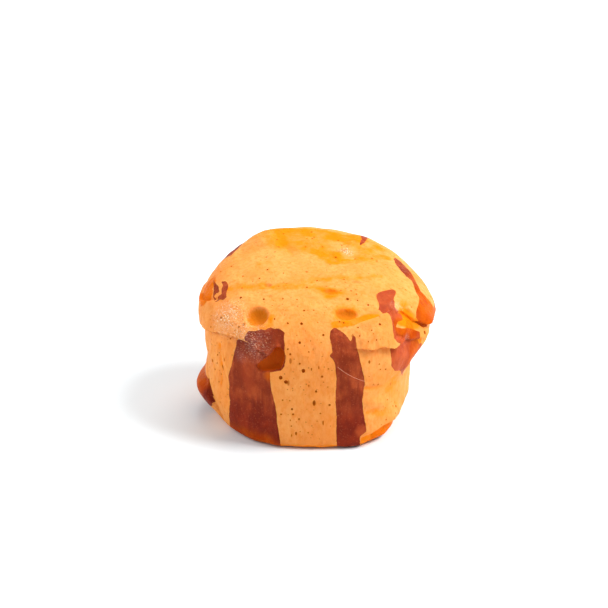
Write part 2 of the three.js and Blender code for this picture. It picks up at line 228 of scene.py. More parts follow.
# Soft swellings and hollows: a middle, a reach and a lift.
SWELLINGS = (
    ((9.7, -6.7, 12.9), 1.5, 0.42), ((9.9, -7.2, 11.6), 0.9, -0.3), ((11.4, -5.2, 11.3), 1.1, 0.1),
    ((9.9, -5.6, 14.2), 1.2, -0.25), ((9.9, -6.9, 8.7), 1.5, 0.25), ((-6.3, 6.6, 17.9), 3, 0.42),
    ((0.9, 6.6, 18.2), 2.4, -0.16), ((3.4, 3.6, 17.8), 2.6, -0.3), ((5.2, 7.6, 17.4), 2.6, 0.24),
    ((-6, 0.5, 17.5), 3.4, 0.12), ((6.2, -0.5, 17.1), 3.2, 0.12), ((-0.5, -1.5, 17.6), 4, -0.12),
    ((-2, -6.8, 16.1), 3, 0.1), ((8.4, -8.8, 5.6), 2.6, -0.18), ((8.9, -8.6, 3.2), 2.2, 0.14),
    ((-10.4, -7.6, 6.5), 2.8, 0.1), ((0.5, -12, 6.5), 4.5, 0.08), ((-7.4, -10.5, 6), 3.4, -0.1),
    ((3.6, -11.8, 8), 3, -0.08),
)
# Narrow ridges and creases, as lines drawn over the skin: corners, a reach and a lift.
CREASES = (
    (((2.5, 2.4, 17.9), (3.5, 4.2, 18), (4.7, 6.4, 17.8)), 1, 0.37),
    (((-4.9, 8.3, 18.5), (-4, 5, 18.3), (-2.7, 2.6, 17.9)), 0.8, -0.24),
    (((-10.9, -6.9, 10.8), (-10.6, -7.2, 8.8), (-10.6, -6.9, 6.2)), 0.6, -0.24),
    (((-9.9, -8.2, 11.4), (-10.1, -8, 9.6), (-9.9, -8.3, 7.6)), 0.45, 0.17),
    (((-11.6, -5.2, 10.6), (-11.7, -5, 8.6), (-11.3, -5.4, 6.4)), 0.6, 0.2),
    (((-8.4, -9.3, 14.9), (-9.4, -8.2, 14.9), (-10.6, -6.6, 15.1)), 0.4, -0.17),
    (((5.3, -11.1, 7.45), (7.6, -10, 7.15), (9.2, -8.4, 8)), 0.45, -0.2),
    (((5.8, -10.9, 5.5), (7.8, -9.9, 5.2), (9.6, -7.9, 6.2)), 0.8, 0.24),
    (((5.8, -10.8, 4.4), (7.8, -9.7, 3.9), (9.2, -7.9, 4.4)), 0.7, -0.2),
    (((7.4, -9.7, 14), (6.2, -10.2, 13.6), (5, -10.6, 13.2)), 0.5, 0.14),
    (((8.9, -7.5, 14.8), (9.6, -6.3, 14.6), (10.4, -5, 14.4)), 0.45, 0.2),
    (((9.2, -8, 10.8), (9.9, -6.6, 9.7), (10.5, -5.8, 9)), 0.45, -0.24),
    (((-8.2, -10.2, 12), (-6.8, -11, 11.7), (-5.1, -11.5, 11.8)), 0.4, 0.2),
    (((-8, -10.4, 11.4), (-6.6, -11.1, 11.2), (-5.4, -11.4, 10.9)), 0.4, -0.2),
)
WRINKLE_DEPTH = 0.035


def closeness(x, y, z, corners, reach):
    """1 on a drawn line, falling evenly to 0 at its reach."""
    corners = np.array(corners)
    middle, half = (corners.max(0) + corners.min(0)) / 2, (corners.max(0) - corners.min(0)) / 2 + reach
    places = np.stack([x, y, z], 1)
    near = (np.abs(places - middle) < half).all(1)
    best = np.zeros(near.sum())
    for start, end in zip(corners, corners[1:]):
        run = end - start
        from_start = places[near] - start
        share = np.clip(from_start @ run / (run @ run), 0, 1)
        gone = np.linalg.norm(from_start - share[:, None] * run, axis=1)
        best = np.maximum(best, np.clip(1 - gone / reach, 0, 1))
    total = np.zeros(len(places))
    total[near] = best
    return total


def distance(x, y, z, middle, radii=(1, 1, 1)):
    """How far each place is from a middle, counted in the radii given."""
    run, back, rise = [(place - start) / r for place, start, r in zip((x, y, z), middle, radii)]
    return np.sqrt(run ** 2 + back ** 2 + rise ** 2)


def folded(x, y, z):
    """The pillow with its folds: about the distance from its skin, positive outside."""
    azimuth, skin = azimuth_of(x, y), pillow(x, y, z)
    lift = (left_flap(azimuth, z, skin) + right_lobe(azimuth, z, skin) + tongue(x, y, z, skin)
            + right_hollow(azimuth, z) + right_crease(azimuth, z, skin) + foot_flap(x, y, z, skin)
            + left_lobe(azimuth, z, skin))
    for middle, reach, amount in SWELLINGS:
        lift = lift + amount * hump(distance(x, y, z, middle) / reach)
    for corners, reach, amount in CREASES:
        lift = lift + amount * closeness(x, y, z, corners, reach)
    wrinkle = np.sin(1.9 * x + 0.7 * z + 1.3 * np.sin(0.9 * y)) * np.sin(1.4 * z + 1.1 * y + 0.6 * x)
    lift = lift + WRINKLE_DEPTH * wrinkle
    return np.maximum(skin - lift * hump(skin / FOLD_REACH), -z)


# ---- Open bubbles ------------------------------------------------------------
# Pulling folds air into the candy. Two big bubbles have opened on the front shoulder, flat ones on
# the crown, and one on the front wall has torn open and left a slanting hole with a crisp edge.
OPEN_BUBBLES = (  # a middle and its radii
    ((-6.75, -8.5, 15.8), (1.62, 1.55, 1.9)),
    ((3.3, -8.35, 15.42), (1.4, 0.92, 0.88)),
    ((1.56, -5.15, 16.62), (1.1, 0.5, 0.42)),
    ((-5.5, -3.8, 16.82), (0.5, 0.4, 0.34)),
    ((-5.2, -5.75, 16.33), (0.32, 0.25, 0.26)),
    ((4.6, -3.2, 16.85), (0.75, 0.3, 0.22)),
)
RIM_BLEND, TORN_RIM_BLEND, TORN_FLOOR_BLEND = 0.12, 0.05, 0.5
TORN_SHALLOW, TORN_DEEPER = 0.45, 0.55
TORN_OUTLINE = (  # (x, z)
    (-6.75, 9.95), (-6.15, 10.6), (-5.55, 11.15), (-4.9, 11.9), (-4.7, 12.25), (-4.35, 12.45),
    (-4, 12.45), (-3.66, 12.15), (-3.5, 11.6), (-3.55, 10.95), (-3.75, 10.4), (-3.95, 9.97),
    (-4.6, 9.8), (-5.2, 9.6), (-6, 9.35), (-6.45, 9.45),
)
FAR_OUTSIDE = 9.0  # stands for a place that is well outside


def within(outline, across, up):
    """How far inside a closed outline each place lies, and negative outside it."""
    nearest = np.full(across.shape, 1e9)
    inside = np.zeros(across.shape, bool)
    for (a0, u0), (a1, u1) in zip(outline, outline[1:] + outline[:1]):
        run, rise = a1 - a0, u1 - u0
        t = np.clip(((across - a0) * run + (up - u0) * rise) / (run * run + rise * rise), 0, 1)
        nearest = np.minimum(nearest, np.hypot(across - a0 - t * run, up - u0 - t * rise))
        if rise:
            inside ^= ((u0 > up) != (u1 > up)) & (across < run * (up - u0) / rise + a0)
    return np.where(inside, nearest, -nearest)


def torn_hole(x, z, solid):
    """How far inside the torn bubble a place lies."""
    depth = TORN_SHALLOW + TORN_DEEPER * ease(-6.6, -4.4, x)
    return -rounded_max(-within(TORN_OUTLINE, x, z), -depth - solid, TORN_FLOOR_BLEND)


def candy(x, y, z):
    """The whole piece of candy: positive outside it, negative inside."""
    solid = whole = folded(x, y, z)
    for middle, radii in OPEN_BUBBLES:
        out = distance(x, y, z, middle, radii) - 1
        solid = rounded_max(solid, -out * min(radii), RIM_BLEND)
    hole = np.full(np.shape(x), -FAR_OUTSIDE)
    near = (y < -8) & (z > 8.4) & (z < 13.6) & (x > -7.5) & (x < -2.5)
    if near.any():
        hole[near] = torn_hole(x[near], z[near], whole[near])
    return rounded_max(solid, hole, TORN_RIM_BLEND)


# ---- The skin as one closed mesh ---------------------------------------------
# The candy's skin is smooth and has no gap. It is read off a fine grid as one closed mesh, thinned where
# it bends least, and its points are then moved back onto the skin.
CELL = 0.135
KEPT_SHARE = 0.46  # of the skin's triangles, the most where the skin bends least go
LOW, HIGH = np.array((-14.6, -13.2, -0.6)), np.array((14.9, 13.4, 19.2))  # the grid's corners
NEAR_SKIN = 1.9  # only this close to the plain pillow are folds and bubbles worked out


def slope(f, points, reach=0.02):
    """Which way f grows at each point, as unit vectors, and how fast."""
    x, y, z = points.T
    grown = np.stack([f(x + reach, y, z) - f(x - reach, y, z), f(x, y + reach, z) - f(x, y - reach, z),
                      f(x, y, z + reach) - f(x, y, z - reach)], 1) / (2 * reach)
    size = np.linalg.norm(grown, axis=1, keepdims=True)
    return grown / np.maximum(size, 1e-6), size[:, 0]


def settle(points, rounds=2):
    """Moves points straight onto the skin of the candy."""
    for _ in range(rounds):
        way, speed = slope(candy, points)
        off = candy(*points.T) / np.maximum(speed, 0.3)
        points = points - way * np.clip(off, -CELL / 2, CELL / 2)[:, None]
    return points


def new_object(name, data):
    thing = bpy.data.objects.new(name, data)
    scene.collection.objects.link(thing)
    return thing


def finished_mesh(thing, name):
    """The plain mesh that a thing's modifiers make."""
    evaluated = thing.evaluated_get(bpy.context.evaluated_depsgraph_get())
    mesh = bpy.data.meshes.new_from_object(evaluated)
    mesh.name = name
    return mesh


def corners_of(mesh):
    flat = np.zeros(len(mesh.vertices) * 3)
    mesh.vertices.foreach_get("co", flat)
    return flat.reshape(-1, 3)


def skin_mesh():
    counts = np.ceil((HIGH - LOW) / CELL).astype(int)
    x, y, z = np.meshgrid(*[LOW[i] + CELL * np.arange(counts[i]) for i in range(3)], indexing="ij")
    field = pillow(x, y, z)
    near = np.abs(field) < NEAR_SKIN
    field[near] = candy(x[near], y[near], z[near])
    grid = openvdb.FloatGrid(10.0)
    grid.copyFromArray(field.astype(np.float32))
    points, quads = grid.convertToQuads(isovalue=0.0)
    points = settle(LOW + CELL * points.astype(float))
    quads = quads[:, ::-1].astype(int)
    halves = np.concatenate([quads[:, [0, 1, 2]], quads[:, [0, 2, 3]]])
    fine = bpy.data.meshes.new("fine_skin")
    fine.from_pydata(points.tolist(), [], halves.tolist())
    thing = new_object("fine_skin", fine)
    thinned = thing.modifiers.new("thinned", "DECIMATE")
    thinned.ratio = KEPT_SHARE
    mesh = finished_mesh(thing, "thin_skin")
    bpy.data.objects.remove(thing)
    corners = np.zeros(len(mesh.polygons) * 3, int)
    mesh.polygons.foreach_get("vertices", corners)
    return settle(corners_of(mesh)), corners.reshape(-1, 3)


skin_points, skin_faces = skin_mesh()


# ---- The red bands -----------------------------------------------------------
# Bands of red-brown candy are laid into the cream before it is pulled, and run from the foot to the
# crown. Films of cream cover parts of them, so that some show only as a window. Each band is a piece
# of its own, sunk into a groove that fits it exactly.
BAND_DEPTH = 1.6
DEGREE = 0.2147  # millimetres that one degree spans on the side of the candy
SNAP = 0.02  # a point this close to a band's edge counts as on it
INWARD_BLEND = 5.0  # how round the foot is that the bands' inner faces follow
FRONT_OUTLINES = {  # (x, z)
    "stripe_front_left": [
        (-9.81, -2), (-9.81, 1.2), (-9.8, 3), (-9.73, 4.7), (-9.86, 5.3), (-9.75, 6.4),
        (-9.83, 7.7), (-9.58, 8.8), (-9.28, 10.4), (-8.94, 11.5), (-8.8, 12.35), (-8.2, 12.36),
        (-7.5, 12.2), (-8, 12.8), (-7.8, 13.35), (-7.5, 13.65), (-6.8, 13.7), (-6.2, 13.95),
        (-5.76, 13.92), (-5.2, 14.2), (-4.7, 14.08), (-4.3, 14.2), (-3.84, 13.98),
        (-3.56, 13.85), (-3.62, 13.2), (-3.5, 12.7), (-3.55, 11.6),
        (-3.6, 10.4), (-3.93, 9.95), (-5.21, 9.54), (-5.17, 8.8), (-4.99, 7.3), (-4.85, 6.6),
        (-4.68, 5.66), (-4.46, 4.2), (-4.38, 3.2), (-4.28, 2.65), (-4.1, 1), (-4, -2)],
    "stripe_front_right": [
        (2.25, -2), (2.25, 0.9), (2.1, 5.8), (2.12, 8.9), (2, 10.9), (1.75, 11.35), (1.35, 11.7),
        (1.75, 12), (1.55, 12.9), (1.38, 13.4), (1.42, 14), (1.9, 14.3), (2.5, 14), (3.2, 13.6),
        (3.55, 13.15), (3.75, 13), (3.9, 13.6), (4.2, 13.5), (4.35, 12.6), (4.7, 11.4), (5, 9.8),
        (5.3, 8.2), (5.2, 7.1), (5.05, 6), (5.15, 4.4), (5.6, 2.2), (4.85, 1.6), (4.8, -2)],
}
SIDE_OUTLINES = {  # (azimuth, z)
    "stripe_right": [
        [(51.4, 15.7), (54.4, 16), (59.8, 16.1), (66.6, 15.95), (72.9, 15.8), (71.4, 15.6),
         (61.4, 15.42), (57.5, 15.15), (55.9, 14.9), (56.5, 14.3), (59, 14), (58.9, 13.75),
         (51.4, 13.75), (48.4, 13.4), (51.5, 13.12), (55.5, 12.9), (61, 12.35), (65.1, 11.75),
         (63.4, 11.04), (65.8, 10.14), (68.5, 10.1), (69.5, 9.2), (64, 8.9), (60, 8.5), (56.7, 7.5),
         (57.6, 6.6), (54.2, 7.2), (49, 8.2), (43.3, 8.68), (40, 9.53), (39.5, 11.85), (41.4, 12),
         (44.2, 12.22), (42.1, 12.5), (40.9, 12.95), (42.2, 13.72), (43.9, 14.3), (45.6, 14.85),
         (45.6, 15.1), (43.4, 15.05), (46.5, 15.25), (48.2, 15.35)]],
    "stripe_far_right": [
        [(93, -2), (92, 5), (90, 9), (87.6, 12), (80.3, 12.02), (73.5, 11.65), (69.1, 11.9),
         (66.6, 12.6), (65.8, 13.3), (67.8, 13.8), (70.5, 14), (75.8, 14.2), (81.5, 14.35),
         (83.3, 14.6), (87.8, 14.9), (95.2, 15.2), (96.8, 15.6), (101.4, 16), (107.5, 16.2),
         (117, 16.4), (119.7, 16.25), (114.8, 15.75), (110, 15.35), (103.8, 15.05), (96.1, 14.75),
         (89.1, 14.4), (88.2, 13.8), (88.2, 13.1), (88.6, 12.5), (100, 12), (106, 10), (110, 5),
         (110, -2)]],
    "stripe_back_right": [
        [(137, -2), (138, 6), (136, 12), (141, 15.6), (156, 15.6), (153, 12), (155, 6), (154, -2)]],
    "stripe_back": [
        [(174, -2), (173, 6), (175, 12), (178, 14), (181, 14.5), (186, 14.2), (190, 14.4), (193, 12),
         (194, 6), (192, -2)]],
    "stripe_back_left": [
        [(222, -2), (221, 5), (223, 10), (221, 13), (219.5, 14.8), (219.5, 15.6), (244, 15.6),
         (243.7, 14.8), (242, 12.5), (242, 10), (244, 5), (243, -2)]],
    "stripe_left": [
        [(-95, -2), (-96, 2.6), (-98, 4.6), (-101, 6.2), (-103, 8.5), (-103, 10.95), (-93, 10.95),
         (-81, 11.1), (-77.5, 11.3), (-80, 10.5), (-93, 9.9), (-95, 8), (-92, 5.9), (-86, 5.1), (-79, 5),
         (-71.9, 5.1), (-69.6, 4.7), (-67.3, 3.8), (-65.8, 3), (-67, 2.3), (-74, 1.6), (-80, 1),
         (-83, -2)],
        [(-98, 15.5), (-91, 15.52), (-87.2, 15.58), (-81.5, 15.66), (-75.8, 15.43), (-76.5, 15.26),
         (-79.2, 15.15), (-76.5, 14.94), (-73.3, 14.7), (-74.5, 14.58), (-77.9, 14.9), (-82, 15.18),
         (-85.3, 15.28), (-91.1, 15.4)],
        [(-84.8, 15.98), (-81.9, 16.2), (-78.5, 16.16), (-74, 16.01), (-70.7, 15.76), (-66.7, 15.52),
         (-66.8, 15.25), (-69.8, 15.1), (-70.8, 14.75), (-73.5, 14.97), (-73.4, 15.26), (-72.7, 15.46),
         (-76.5, 15.67), (-79.2, 15.93)]],
}
CROWN_OUTLINES = {  # (x, y), where a band's end lies on the dome
    "stripe_back_right": [
        (4.95, 5.45), (5.25, 7.3), (5.1, 9), (4.9, 12.5), (8.6, 10.5), (6.9, 9.2), (6.15, 8.75),
        (5.55, 6.45)],
    "stripe_back_left": [
        (-9.75, 4.8), (-9.1, 5.9), (-8.45, 7.1), (-8, 9.3), (-8.6, 10.6), (-12.6, 6.2), (-11, 5.35)],
}
CROWN_FROM = 14.5  # the dome's height where those begin
TORN_RED_RIM = 0.07  # how far the front left band goes past the torn bubble's edge


def band_level(name, points):
    """How far inside a band's edge each place lies. The band stops at its depth under the foot."""
    x, y, z = points.T
    ragged = 0.035 * np.sin(1.3 * z + len(name)) + 0.014 * np.sin(5.1 * z + 2)
    ragged = ragged + 0.01 * np.sin(11.7 * z)
    if name in FRONT_OUTLINES:
        level = within(FRONT_OUTLINES[name], x + ragged, z)
        if name == "stripe_front_left":
            level = np.maximum(level, within(TORN_OUTLINE, x, z) + TORN_RED_RIM)
        level = np.where(y < 0, level, -FAR_OUTSIDE)
    else:
        level = np.full(x.shape, -FAR_OUTSIDE)
        for outline in SIDE_OUTLINES[name]:
            middle = sum(azimuth for azimuth, _ in outline) / len(outline)
            across = ((azimuth_of(x, y) - middle + 180) % 360 - 180) * DEGREE
            flat = [((azimuth - middle) * DEGREE, up) for azimuth, up in outline]
            level = np.maximum(level, within(flat, across + ragged, z))
    if name in CROWN_OUTLINES:
        crown = np.minimum(within(CROWN_OUTLINES[name], x + ragged, y), z - CROWN_FROM)
        level = np.maximum(level, crown)
    wall, _ = wall_and_crown(x, y, z)
    return np.where(z < 1, np.minimum(level, BAND_DEPTH + wall), level)


BANDS = list(FRONT_OUTLINES) + list(SIDE_OUTLINES)


def all_levels(points):
    levels = np.stack([band_level(name, points) for name in BANDS])
    return levels.argmax(0), levels.max(0)


def split(points, faces, level):
    """Cuts every triangle that the line level = 0 crosses, and keeps the cut on the candy's skin."""
    side = np.sign(level).astype(int)
    ahead = np.roll(faces, -1, axis=1)
    crossed = side[faces] * side[ahead] < 0
    ends, index = np.unique(np.sort(np.stack([faces[crossed], ahead[crossed]], 1), axis=1), axis=0,
                            return_inverse=True)
    share = level[ends[:, 0]] / (level[ends[:, 0]] - level[ends[:, 1]])
    made = settle(points[ends[:, 0]] + share[:, None] * (points[ends[:, 1]] - points[ends[:, 0]]))
    middle = np.zeros(faces.shape, int)
    middle[crossed] = len(points) + index.ravel()
    kept = [faces[crossed.sum(1) == 0]]
    for count in (1, 2):
        rows = np.where(crossed.sum(1) == count)[0]
        first = crossed[rows].argmax(1) if count == 1 else ((~crossed[rows]).argmax(1) + 2) % 3
        turn = (first[:, None] + np.arange(3)) % 3
        a, b, c = faces[rows[:, None], turn].T
        ab, _, ca = middle[rows[:, None], turn].T
        if count == 1:
            kept += [np.stack([a, ab, c], 1), np.stack([ab, b, c], 1)]
        else:
            kept += [np.stack([a, ab, ca], 1), np.stack([ab, b, c], 1), np.stack([ab, c, ca], 1)]
    return np.concatenate([points, made]), np.concatenate(kept), np.append(level, np.zeros(len(made)))


def rim(faces):
    """The edges that only one triangle has, each in that triangle's direction."""
    edges = np.concatenate([faces[:, [0, 1]], faces[:, [1, 2]], faces[:, [2, 0]]])
    key = edges[:, 0] * 10_000_000 + edges[:, 1]
    back = edges[:, 1] * 10_000_000 + edges[:, 0]
    return edges[~np.isin(key, back)]


_, level = all_levels(skin_points)
loose = np.abs(level) < SNAP
while True:
    snapped = np.where(loose, 0.0, level)
    points, faces, side = split(skin_points, skin_faces, snapped)
    owner, _ = all_levels(points[faces].mean(1))
    in_band = np.where(side[faces].sum(1) > 0, owner, -1)
    pinched = np.zeros(len(points), int)
    for number in range(-1, len(BANDS)):
        starts = rim(faces[in_band == number])[:, 0]
        pinched = np.maximum(pinched, np.bincount(starts, minlength=len(points)))
    bad = np.where(pinched > 1)[0]
    if len(bad) == 0 or not loose[bad[bad < len(skin_points)]].any():
        break
    loose[bad[bad < len(skin_points)]] = False

inward, _ = slope(lambda x, y, z: pillow(x, y, z, INWARD_BLEND), points, 0.05)
deep_points = points - BAND_DEPTH * inward
every_point = np.concatenate([points, deep_points])


def walls(faces):
    a, b = rim(faces).T
    under = len(points)
    return np.concatenate([np.stack([b, a, a + under], 1), np.stack([b, a + under, b + under], 1)])


MM = 0.001
SHARP_EDGE = math.radians(50)


def smooth(mesh):
    mesh.polygons.foreach_set("use_smooth", [True] * len(mesh.polygons))
    mesh.set_sharp_from_angle(angle=SHARP_EDGE)


def make_piece(name, faces):
    """A mesh object of the triangles given, with the points that they use."""
    used, flat = np.unique(faces, return_inverse=True)
    mesh = bpy.data.meshes.new(name)
    mesh.from_pydata((every_point[used] * MM).tolist(), [], flat.reshape(-1, 3).tolist())
    smooth(mesh)
    return new_object(name, mesh)


def node(tree, kind, values=None, **settings):
    """Adds a node. A value that is another node's output is linked."""
    made = tree.nodes.new(kind)
    for key, value in settings.items():
        setattr(made, key, value)
    for key, value in (values or {}).items():
        if isinstance(value, bpy.types.NodeSocket):
            tree.links.new(value, made.inputs[key])
        else:
            made.inputs[key].default_value = value
    return made


def mixed(tree, amount, first, second):
    """One colour laid over another by an amount."""
    return node(tree, "ShaderNodeMix", {0: amount, 6: first, 7: second}, data_type="RGBA").outputs[2]


def ramp(tree, value, low, high, to_low=0.0, to_high=1.0):
    """A value's range from low to high, stretched and held at its ends."""
    return node(tree, "ShaderNodeMapRange", {0: value, 1: low, 2: high, 3: to_low, 4: to_high},
                interpolation_type="SMOOTHSTEP").outputs[0]


def grain(tree, place, scale, detail=2.0, rough=0.5, stretch=(1, 1, 1)):
    """Noise on the object's own coordinates, with this many bumps in a metre."""
    mapped = node(tree, "ShaderNodeMapping", {"Vector": place, "Scale": stretch}).outputs[0]
    return node(tree, "ShaderNodeTexNoise", {"Vector": mapped, "Scale": scale, "Detail": detail,
                                             "Roughness": rough}).outputs[0]


def marked(tree, name):
    """A value that is painted on the piece's points."""
    return node(tree, "ShaderNodeAttribute", attribute_name=name).outputs["Fac"]


def reckoned(tree, how, *values):
    return node(tree, "ShaderNodeMath", dict(enumerate(values)), operation=how).outputs[0]


def times(tree, a, b):
    return reckoned(tree, "MULTIPLY", a, b)


def bumpy(tree, strength, distance, height, **under):
    """Bumps of this distance in metres, on top of the ones under them."""
    return node(tree, "ShaderNodeBump", {"Strength": strength, "Distance": distance, "Height": height,
                                         **under}).outputs[0]


def painted_glints(tree, place, colour, low, pale):
    """Painted glints: fine pale grains painted into the colour on the glistening places."""
    sparks = ramp(tree, grain(tree, place, 5200, 2, 0.7, (1, 1, 1.5)), low, 0.66)
    return mixed(tree, times(tree, times(tree, sparks, marked(tree, "glisten_and_glints")), 0.75), colour, pale)


def candy_surface(tree, colour, rough, normal, light_in, coat):
    """A surface that lets a little light in, with a wet coat on its glistening places."""
    weight, radius, scale, index = light_in
    shader = node(tree, "ShaderNodeBsdfPrincipled", {
        "Base Color": colour, "Roughness": rough, "Normal": normal, "Coat Normal": normal,
        "Subsurface Weight": weight, "Subsurface Radius": radius, "Subsurface Scale": scale, "IOR": index,
        "Coat Weight": times(tree, marked(tree, "glisten_and_glints"), coat[0]), "Coat Roughness": coat[1]})
    node(tree, "ShaderNodeOutputMaterial", {"Surface": shader.outputs[0]})


def new_finish(name):
    """An empty material, its tree, and the object's own coordinates."""
    material = bpy.data.materials.new(name)
    material.use_nodes = True
    tree = material.node_tree
    tree.nodes.clear()
    return material, tree, node(tree, "ShaderNodeTexCoord").outputs["Object"]


SCRATCH_MIDDLE = (0.00983, 0.01821, 0)  # x and z, in metres like the numbers below
SCRATCH_RADIUS = 0.010845
SCRATCH_WIDTH = 0.000022
SCRATCH_FROM_X, SCRATCH_TO_X = 0.0023, 0.0063
SCRATCH_BEHIND, SCRATCH_TOP = -0.008, 0.012


def scratch(tree, place):
    """The hair-fine pale scratch across the right band: part of a ring, seen from the front."""
    x, y, z = node(tree, "ShaderNodeSeparateXYZ", {"Vector": place}).outputs
    flat = node(tree, "ShaderNodeCombineXYZ", {0: x, 1: z}).outputs[0]
    gone = node(tree, "ShaderNodeVectorMath", {0: flat, 1: SCRATCH_MIDDLE}, operation="DISTANCE")
    on_ring = reckoned(tree, "COMPARE", gone.outputs["Value"], SCRATCH_RADIUS, SCRATCH_WIDTH)
    begun = reckoned(tree, "GREATER_THAN", x, SCRATCH_FROM_X)
    for value, end in ((x, SCRATCH_TO_X), (y, SCRATCH_BEHIND), (z, SCRATCH_TOP)):
        begun = times(tree, begun, reckoned(tree, "LESS_THAN", value, end))
    return times(tree, on_ring, begun)


def red_finish():
    """Glossy red-brown candy: faint upright fibres, fine painted glints, painted sheen higher up, clear
    orange places partly painted as glow, and painted shade in the torn bubble.
    """
    material, tree, place = new_finish("red_candy_finish")
    clouds = ramp(tree, grain(tree, place, 420, 4, 0.6), 0.36, 0.64)
    fibres = ramp(tree, grain(tree, place, 2400, 3, 0.6, (1, 1, 0.14)), 0.35, 0.7)
    # Pale specks painted over the whole band: painted glints.
    painted_glint_specks = ramp(tree, grain(tree, place, 5200, 2, 0.7), 0.58, 0.72)
    rise = node(tree, "ShaderNodeSeparateXYZ", {"Vector": place}).outputs["Z"]
    # Painted shade and sheen: the band is painted darker towards the foot and lighter higher up.
    sheen_up_high = ramp(tree, rise, 0.003, 0.0068)
    dark = mixed(tree, clouds, (0.190, 0.020, 0.009, 1), (0.29, 0.032, 0.011, 1))
    light = mixed(tree, clouds, (0.23, 0.031, 0.010, 1), (0.41, 0.070, 0.021, 1))
    colour = mixed(tree, sheen_up_high, dark, light)
    colour = mixed(tree, times(tree, fibres, 0.5), colour, (0.165, 0.018, 0.010, 1))
    colour = mixed(tree, times(tree, painted_glint_specks, 0.32), colour, (0.62, 0.17, 0.08, 1))
    # Pink-red for the pink-red places and for the painted sheen.
    rose_and_sheen = mixed(tree, clouds, (0.36, 0.052, 0.017, 1), (0.50, 0.088, 0.024, 1))
    colour = mixed(tree, ramp(tree, marked(tree, "rose_and_sheen"), 0.05, 0.4), colour, rose_and_sheen)
    orange = mixed(tree, clouds, (0.40, 0.046, 0.001, 1), (0.54, 0.092, 0.002, 1))
    # Clear orange, partly painted glow.
    colour = mixed(tree, ramp(tree, marked(tree, "orange"), 0.05, 0.8), colour, orange)
    # Painted shade inside the torn bubble.
    colour = mixed(tree, ramp(tree, marked(tree, "pit_shade"), 0.1, 0.35), colour, (0.50, 0.075, 0.004, 1))
    colour = painted_glints(tree, place, colour, 0.55, (0.84, 0.40, 0.24, 1))
    colour = mixed(tree, times(tree, scratch(tree, place), 0.8), colour, (0.78, 0.34, 0.22, 1))
    rough = ramp(tree, grain(tree, place, 900, 3), 0.3, 0.7, 0.28, 0.46)
    normal = bumpy(tree, 0.5, 0.00007, grain(tree, place, 4600, 3, 0.7))
    normal = bumpy(tree, 0.3, 0.00009, fibres, Normal=normal)
    wrinkles = grain(tree, place, 1900, 2, 0.6, (1, 1, 2.2))
    normal = bumpy(tree, times(tree, marked(tree, "glisten_and_glints"), 0.9), 0.00025, wrinkles, Normal=normal)
    candy_surface(tree, colour, rough, normal, (0.2, (1.0, 0.25, 0.08), 0.0005, 1.08), (0.7, 0.14))
    return material


def spots(x, y, z, places):
    """Cone-shaped marks, each a middle, a reach and a strength. The finishes give them their edges."""
    total = np.zeros(x.shape)
    for middle, reach, strength in places:
        total = np.maximum(total, strength * np.clip(1 - distance(x, y, z, middle) / reach, 0, 1))
    return total


# Clear orange places: partly the candy's clear parts, partly painted glow of light passing through the
# thin lobes.
ORANGE_AND_GLOW_PLACES = (
    ((12.6, -2, 13), 5, 1.6), ((13.4, 1.5, 12.6), 5, 1.6), ((9.2, -7.2, 13.1), 1.4, 2),
    ((10.4, -6.1, 12.4), 1.5, 2), ((10.9, -6.2, 10), 1.6, 1.6), ((10.4, -6.6, 8.8), 1.3, 1.3),
    ((9.9, -7, 7.7), 1.1, 1), ((-12.7, -1.6, 2.8), 1.5, 1.1), ((-12.4, 0.6, 15), 2.4, 1.6),
    ((-12.9, -2.6, 4.2), 2.2, 1.6), ((-12.8, 0.5, 4.4), 3, 1.6), ((-5.4, -11.6, 9), 1.1, 1),
)
# Pink-red places of the bands, and three on the upper end of the front left band that are painted sheen.
PINK_AND_SHEEN_PLACES = (
    ((9.6, -5.6, 15.2), 4, 3), ((9.5, -7, 12), 4, 3), ((10.2, -6.6, 9), 4, 3),
    ((12.2, 1.5, 14.8), 5, 0.22), ((10.5, 5, 15.8), 4, 0.15), ((-6.6, -10.7, 11.9), 1.1, 0.35),
    ((-5.5, -11, 11.9), 0.9, 0.35), ((-4.4, -11.1, 12.7), 0.7, 0.3), ((5, -11.3, 2.3), 1.1, 0.6),
)
# Painted sheen: pale streaks and highlights painted along the folds of the front left band.
PAINTED_SHEEN_LINES = (
    (((-7.9, -10.9, 11.7), (-6.4, -11.2, 11.75), (-5.1, -11.4, 11.8)), 0.38, 0.85),
    (((-6.1, -10.3, 13.6), (-5.5, -10.9, 12.6)), 0.34, 0.75),
    (((-4.6, -10.7, 13.7), (-4.2, -11, 12.6)), 0.36, 0.6),
    (((-8.6, -10.2, 10.8), (-8.2, -10.4, 9.2), (-7.6, -10.7, 6.6)), 1.5, 0.5),
)
# Glistening places, which get a wet coat, bumps and painted glints. The crown's white highlight and the
# two glints in the big open bubble are painted highlights only.
GLISTEN_AND_GLINT_PLACES = (
    ((-10, -6.8, 14.4), 2.8, 1.4), ((-8.3, -9.2, 13.3), 1.9, 1.2), ((-7, -10.4, 12.6), 2.6, 1.3),
    ((-8.8, -10.1, 11), 1.6, 1.2), ((9.9, -7.3, 11.7), 0.8, 1), ((9.3, -5.7, 15.3), 1.3, 0.9),
    ((3.4, 3.7, 17.7), 1, 2.2), ((-6.6, -9.2, 14.6), 1.4, 1), ((-6.08, -8.95, 15.25), 0.38, 3),
    ((-7.25, -8.9, 15.3), 0.32, 2.5),
)
# Painted shade: pores and bubbles are painted darker the deeper a place lies in them.
PORE_DARK_DEPTH, BUBBLE_DARK_DEPTH = 0.13, 1.3  # how deep a place is where its colour is full


def lines(x, y, z, drawn):
    """Strength 1 along drawn lines, fading to nothing at their reach."""
    total = np.zeros(x.shape)
    for corners, reach, strength in drawn:
        total = np.maximum(total, strength * closeness(x, y, z, corners, reach))
    return total


